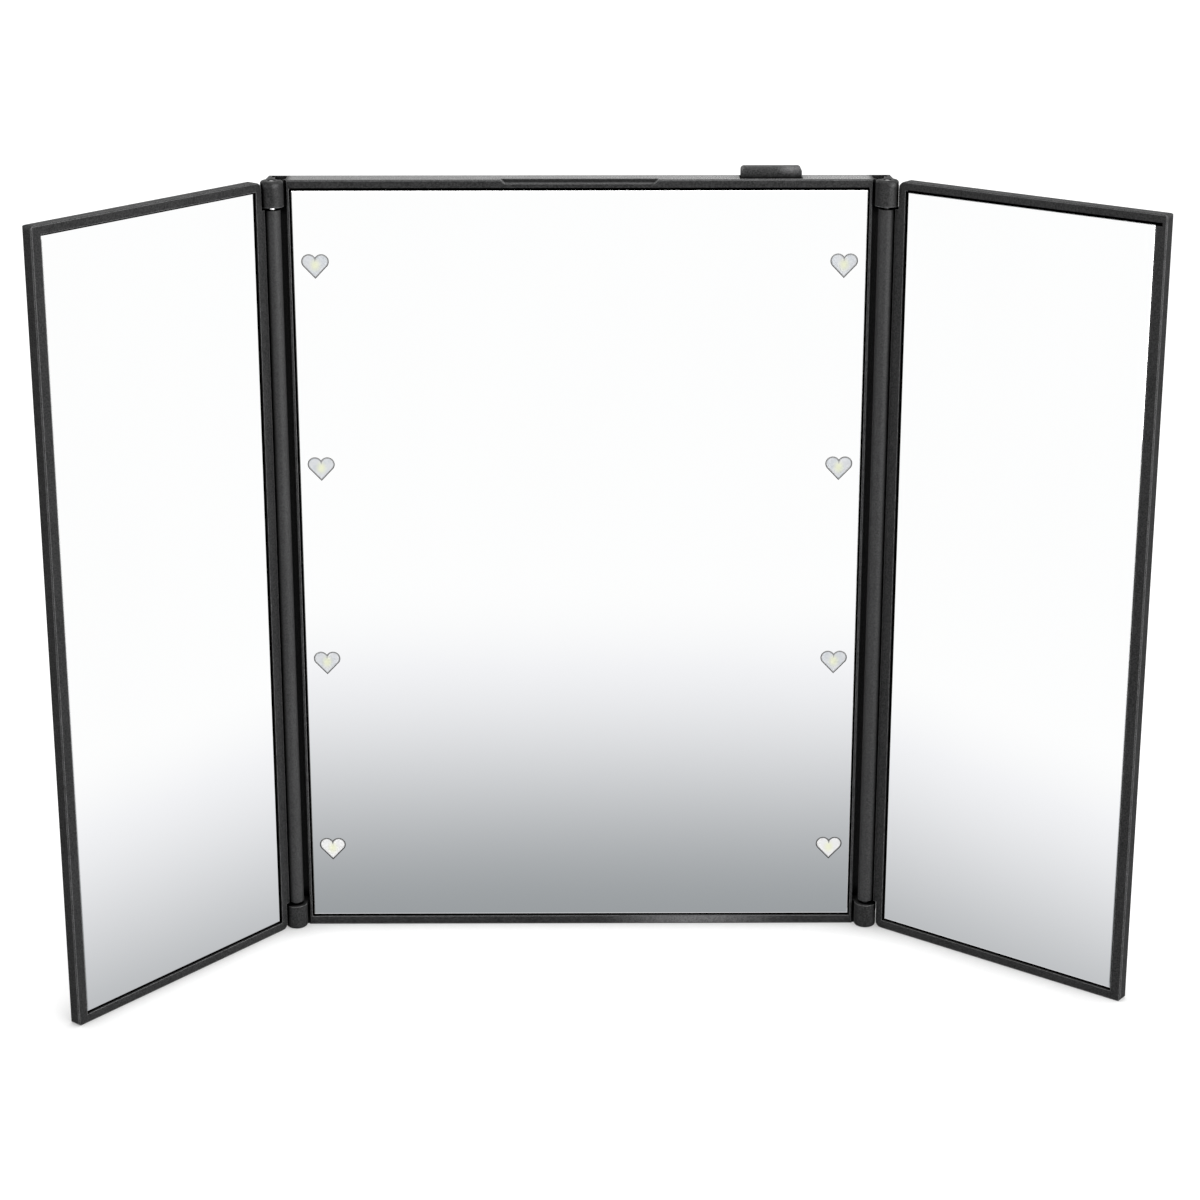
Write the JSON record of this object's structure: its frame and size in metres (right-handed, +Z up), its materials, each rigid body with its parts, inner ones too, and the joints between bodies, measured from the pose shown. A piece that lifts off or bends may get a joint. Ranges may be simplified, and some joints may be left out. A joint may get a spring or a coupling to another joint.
{
  "type": "lighted folding makeup mirror",
  "caption": "Tri-fold tabletop makeup mirror: lit centre glass in a thin frame, two hinged mirror wings, a push button on top and a battery housing behind a sliding door.",
  "frame": {"origin": "middle of the centre panel's base, on the surface that the mirror stands on, half way through the panel's thickness without the battery housing", "axes": "+X to the right of the person at the mirror, +Y backwards from that person, +Z up; the mirror faces -Y"},
  "size_m": [0.2368, 0.0683, 0.1824],
  "materials": {
    "shell": "moulded black plastic, fine satin grain",
    "mirror_glass": "silvered float glass, ground edge",
    "tape": "black foam adhesive sheet",
    "window": "frosted clear window",
    "led": "white package with pale yellow phosphor",
    "circuit_board": "white solder mask",
    "resistor": "black chip",
    "switch_case": "black moulded case",
    "plunger": "white moulded plunger",
    "cell": "plain wrapped steel can",
    "plated_steel": "nickel-plated spring steel",
    "red_wire": "red insulation",
    "black_wire": "black insulation",
    "screw_steel": "dark zinc-plated steel",
    "pin_steel": "drawn steel wire"
  },
  "bodies": {
    "centre": {"centre_frame": "shell", "rear_cover": "shell", "centre_mirror": "mirror_glass", "centre_tape": "tape", "heart_window_left_1": "window", "heart_window_left_2": "window", "heart_window_left_3": "window", "heart_window_left_4": "window", "heart_window_right_1": "window", "heart_window_right_2": "window", "heart_window_right_3": "window", "heart_window_right_4": "window", "led_left_1": "led", "led_left_2": "led", "led_left_3": "led", "led_left_4": "led", "led_right_1": "led", "led_right_2": "led", "led_right_3": "led", "led_right_4": "led", "led_board_left": "circuit_board", "led_board_right": "circuit_board", "board_resistors": "resistor", "switch_board": "circuit_board", "switch_body": "switch_case", "battery_cell_1": "cell", "battery_cell_2": "cell", "battery_cell_3": "cell", "battery_cell_4": "cell", "battery_springs": "plated_steel", "link_plates": "plated_steel", "terminal_plates": "plated_steel", "supply_wire": "red_wire", "switched_wire": "red_wire", "bridge_wire": "red_wire", "return_wire_right": "black_wire", "return_wire_left": "black_wire", "cover_screws": "screw_steel", "hinge_pin_left_top": "pin_steel", "hinge_pin_left_bottom": "pin_steel", "hinge_pin_right_top": "pin_steel", "hinge_pin_right_bottom": "pin_steel"},
    "left_wing": {"left_wing_frame": "shell", "left_wing_mirror": "mirror_glass", "left_wing_tape": "tape"},
    "right_wing": {"right_wing_frame": "shell", "right_wing_mirror": "mirror_glass", "right_wing_tape": "tape"},
    "button": {"power_button": "shell", "switch_plunger": "plunger"},
    "door": {"battery_door": "shell"}
  },
  "joints": [
    {"name": "left_wing_hinge", "type": "hinge", "parent": "centre", "child": "left_wing", "pos_m": [-0.068, -0.0035, 0.09], "axis": [0, 0, 1], "range_deg": [-50.6, 129.4]},
    {"name": "right_wing_hinge", "type": "hinge", "parent": "centre", "child": "right_wing", "pos_m": [0.068, -0.0035, 0.09], "axis": [0, 0, -1], "range_deg": [-38, 142]},
    {"name": "button_press", "type": "slide", "parent": "centre", "child": "button", "axis": [0, 0, -1], "range_m": [0, 0.0008], "stiffness_N_per_m": 1500, "springref_m": -0.0008},
    {"name": "door_slide", "type": "slide", "parent": "centre", "child": "door", "axis": [0, 0, 1], "range_m": [0, 0.05]}
  ]
}
